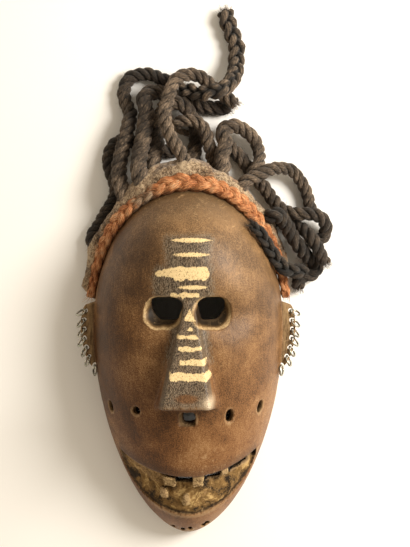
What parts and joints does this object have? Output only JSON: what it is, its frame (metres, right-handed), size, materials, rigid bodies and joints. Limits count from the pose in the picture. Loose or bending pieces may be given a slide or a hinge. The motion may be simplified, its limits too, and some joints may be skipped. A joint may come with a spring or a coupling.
{
  "type": "carved face mask",
  "caption": "Carved wooden face mask with pierced eyes and mouth, cloth cap band, raffia braid, rope hair and metal ear rings.",
  "frame": {"origin": "on the floor under the middle of the wood, cloth, braid and rings, where the back rim rests", "axes": "+Z out of the face, +Y from the chin to the crown, +X to the right of a viewer looking at the face"},
  "size_m": [0.1795, 0.3716, 0.09],
  "materials": {
    "wood": "polished brown patina",
    "cloth": "coarse grey-brown sacking",
    "raffia": "dry orange fibre",
    "rope": "dark twisted plant fibre",
    "metal": "tarnished"
  },
  "bodies": {
    "root": {"carved_face": "wood", "cloth_cap_band": "cloth", "raffia_braid": "raffia", "ear_ring_left_1": "metal", "ear_ring_left_2": "metal", "ear_ring_left_3": "metal", "ear_ring_left_4": "metal", "ear_ring_left_5": "metal", "ear_ring_left_6": "metal", "ear_ring_left_7": "metal", "ear_ring_right_1": "metal", "ear_ring_right_2": "metal", "ear_ring_right_3": "metal", "ear_ring_right_4": "metal", "ear_ring_right_5": "metal", "ear_ring_right_6": "metal", "ear_ring_right_7": "metal", "rope_outer_left": "rope", "rope_left_loop": "rope", "rope_left_front": "rope", "rope_front": "rope", "rope_tail_plait": "rope", "rope_middle": "rope", "rope_curl": "rope", "rope_thin_strand": "rope", "rope_arch": "rope", "rope_long_right": "rope", "rope_hook": "rope", "rope_lower_right": "rope", "rope_fold": "rope", "rope_side_plait": "rope"}
  },
  "joints": []
}
